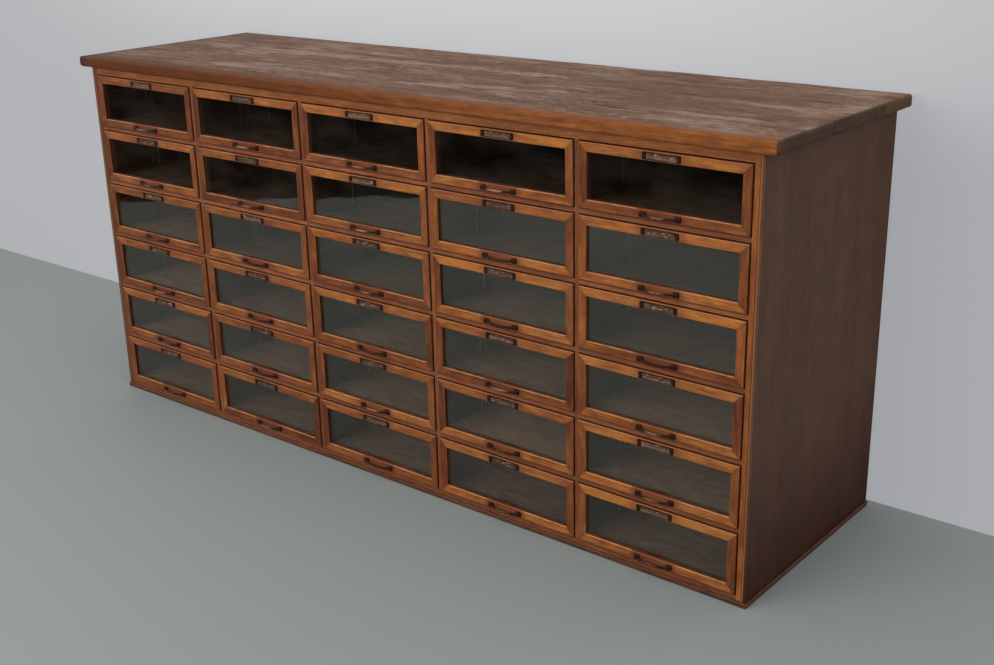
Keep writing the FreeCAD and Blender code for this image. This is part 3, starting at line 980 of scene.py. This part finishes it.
# %% One label holder and its card
def drawer_label(name, middle_x, middle_z, front_y):
    width, height, thick, ear, lip = 0.081, 0.0140, 0.0019, 0.0085, 0.0018
    bm = bmesh.new()
    at = Vector((middle_x, front_y - thick / 2, middle_z))
    bmesh.ops.create_cube(bm, size=1.0, matrix=Matrix.LocRotScale(at, None, (width, thick, height)))
    round_off(bm, deep_edges(bm.edges), 0.0022, 3)
    for axis, offset in ((0, width / 2 - ear), (2, height / 2 - lip)):
        for side in (-1, 1):
            point, normal = at.copy(), Vector((0, 0, 0))
            point[axis] += side * offset
            normal[axis] = 1.0
            score(bm, point, normal)
    window = [f for f in bm.faces if f.normal.y < -0.9 and abs(f.calc_center_median().x - middle_x) < 0.02
              and abs(f.calc_center_median().z - middle_z) < 0.003]
    sunk = bmesh.ops.extrude_discrete_faces(bm, faces=window)
    for face in sunk["faces"]:
        bmesh.ops.translate(bm, vec=(0, 0.0014, 0), verts=list(face.verts))
    rims = [e for e in bm.edges if e.calc_face_angle(0.0) > 0.9]
    round_off(bm, [e for e in rims if all(v.co.y < front_y - 0.0015 for v in e.verts)], 0.0004)
    for side in (-1, 1):
        pin = Vector((middle_x + side * (width / 2 - ear / 2), front_y - thick, middle_z))
        bmesh.ops.create_uvsphere(bm, u_segments=10, v_segments=6, radius=1.0,
                                  matrix=Matrix.LocRotScale(pin, None, (0.0016, 0.0010, 0.0016)))
    rub(bm, front_y - 0.0012, 0.002)
    # The lips' edges get a larger brass share: partly wear, partly a painted highlight along the lips.
    for vert in bm.verts:
        up = abs(vert.co.z - middle_z)
        if up > height / 2 - lip - 0.0004 and abs(vert.co.x - middle_x) < width / 2 - ear + 0.0004:
            vert[bm.verts.layers.float["rubbed"]] *= 2.6 if vert.co.z < middle_z else 1.9
    return make_piece(bm, name + "_label_holder", [holder_bronze], name)


def drawer_card(name, middle_x, middle_z, front_y):
    row, column = grid_place(name)
    width, height = 0.0630, 0.0100
    bm = put_sheet(Vector((middle_x, front_y - 0.0007, middle_z)), width, height, 12, 4)
    bulge = dice.uniform(0.2, 1.0)
    for vert in bm.verts:
        across = 1 - (2 * (vert.co.x - middle_x) / width) ** 2
        up = 1 - (2 * (vert.co.z - middle_z) / height) ** 2
        vert.co.y -= 0.0009 * bulge * across * (0.4 + 0.6 * up)
    tone_layer = bm.verts.layers.float.new("tone")
    tone = dice.uniform(0.1, 0.8) if row else dice.uniform(0.35, 0.95)
    tone -= column_dirt[column]
    # Painted shadow: the card's tone falls towards its top, under the holder's upper lip.
    for vert in bm.verts:
        vert[tone_layer] = tone - 0.5 * (vert.co.z - middle_z) / (height / 2)
    thicken(bm, 0.0003)
    return make_piece(bm, name + "_card", [label_card], name)


# %% Thirty drawers
for name in drawer_names:
    low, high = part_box(name)
    left, right = low.x, high.x
    bottom = high.z - front_height
    front_y = face_y - front_proud
    middle_x = (left + right) / 2
    drawer_front(name, left, right, bottom)
    drawer_pane(name, left, right, bottom)
    drawer_box(name, left, right, low, high)
    drawer_pull(name, middle_x, bottom + member_width / 2, front_y)
    drawer_label(name, middle_x, high.z - member_width / 2, front_y)
    drawer_card(name, middle_x, high.z - member_width / 2, front_y)

# %% [markdown]
# ## Floor and light
#
# A plain pale floor under a wide soft lamp at the front left, a weaker one above and a faint one at
# the right. The floor matters for the looks of the panes, because it is what they mirror. Two low dark
# boards far in front stand for the dark end of a room: only mirrors see them, and they make the upper
# panes deep and clear. The wall glows for the camera, brighter over the middle of the counter.

# %% Floor
def plain(name, shade, roughness):
    material, tree = new_finish(name)
    show(tree, put(tree, "BsdfPrincipled", {
        "Base Color": colour(*shade), "Roughness": roughness, "Specular IOR Level": 0.2,
    }))
    return material


def stage_plane(name, size, place, material, turn=(0.0, 0.0, 0.0)):
    bm = bmesh.new()
    bmesh.ops.create_grid(bm, x_segments=1, y_segments=1, size=0.5, matrix=Matrix.Diagonal((*size, 1, 1)))
    piece = new_object(bm, name, [material])
    piece.location = place
    piece.rotation_euler = turn
    return piece


stage_plane("floor", (60.0, 60.0), (0, 0, 0), plain("floor_paint", (142, 150, 150), 0.6))

# %% Wall behind, and dark boards in front for the panes to mirror
def one_sided(material):
    """Makes a stage material clear from behind, so that the wall never hides the cabinet's back."""
    tree = material.node_tree
    output = next(node for node in tree.nodes if node.type == "OUTPUT_MATERIAL")
    lit = output.inputs[0].links[0].from_socket
    # Painted light: for camera rays the wall glows, brighter in a painted patch over the middle of the
    # counter.
    seen = times(tree, put(tree, "LightPath", {}, output=0), 0.75)
    at = split(tree, object_place(tree))
    halo = times(tree, step(tree, maths(tree, "ADD", at[1], 15.0), 0.70, 1.10),
                 step(tree, maths(tree, "ABSOLUTE", maths(tree, "ADD", at[0], 0.3)), 0.4, 2.2, 1.0, 0.0))
    shade = mix(tree, halo, (174, 177, 183), (210, 212, 216))
    glow = put(tree, "Emission", {"Color": shade, "Strength": 1.0})
    front = put(tree, "MixShader", {0: seen, 1: lit, 2: glow})
    behind = put(tree, "NewGeometry", {}, output=6)
    clear = put(tree, "BsdfTransparent", {})
    tree.links.new(put(tree, "MixShader", {0: behind, 1: front, 2: clear}), output.inputs[0])
    return material


wall_paint = one_sided(plain("wall_paint", (196, 194, 190), 0.8))
wall = stage_plane("wall", (60.0, 30.0), (0, 0.30, 15.0), wall_paint, (math.pi / 2, 0, 0))
wall.visible_diffuse = False
wall.visible_shadow = False
dark_paint = plain("dark_paint", (26, 24, 22), 0.9)
dark_boards = (
    ("dark_board", 9.0, (2.8, -2.35, 0.32), 0.0),
    ("dark_screen", 3.4, (-2.97, -1.36, 0.32), -38.0),
)
for name, width, place, turn in dark_boards:
    board = stage_plane(name, (width, 0.64), place, dark_paint, (math.pi / 2, 0, math.radians(turn)))
    board.visible_camera = False
    board.visible_diffuse = False
    board.visible_shadow = False
    board.visible_transmission = False

# %% World and lamps
world = bpy.data.worlds.new("studio")
scene.world = world
world.use_nodes = True
sky = world.node_tree
sky.nodes.clear()
rays = put(sky, "LightPath", {}).node.outputs
seen = maths(sky, "MAXIMUM", rays["Is Camera Ray"], maths(sky, "MAXIMUM", rays["Is Glossy Ray"],
                                                         rays["Is Transmission Ray"]))
around = put(sky, "Background", {"Color": (1.0, 0.98, 0.95, 1.0), "Strength": 0.6})
white = put(sky, "Background", {"Color": (1.0, 1.0, 1.0, 1.0), "Strength": 1.0})
sky.links.new(put(sky, "MixShader", {0: seen, 1: around, 2: white}),
              sky.nodes.new("ShaderNodeOutputWorld").inputs[0])


def lamp(name, place, target, size, power, tint=(1.0, 1.0, 1.0)):
    data = bpy.data.lights.new(name, "AREA")
    data.shape = "RECTANGLE"
    data.size, data.size_y = size
    data.energy = power
    data.color = tint
    light = bpy.data.objects.new(name, data)
    light.location = place
    light.rotation_euler = (Vector(target) - Vector(place)).to_track_quat("-Z", "Y").to_euler()
    light.visible_glossy = False
    scene.collection.objects.link(light)


lamp("key", (-1.1, -4.3, 1.9), (0, 0, 0.5), (4.0, 2.0), 146.0, (1.0, 0.98, 0.95))
lamp("over", (0.0, -0.6, 4.2), (0, -0.6, 0.0), (4.5, 3.0), 32.0, (1.0, 0.98, 0.95))
lamp("fill", (4.6, -1.0, 2.6), (0.5, 0, 0.5), (3.0, 2.5), 22.0)
print("lights:", len(bpy.data.lights))
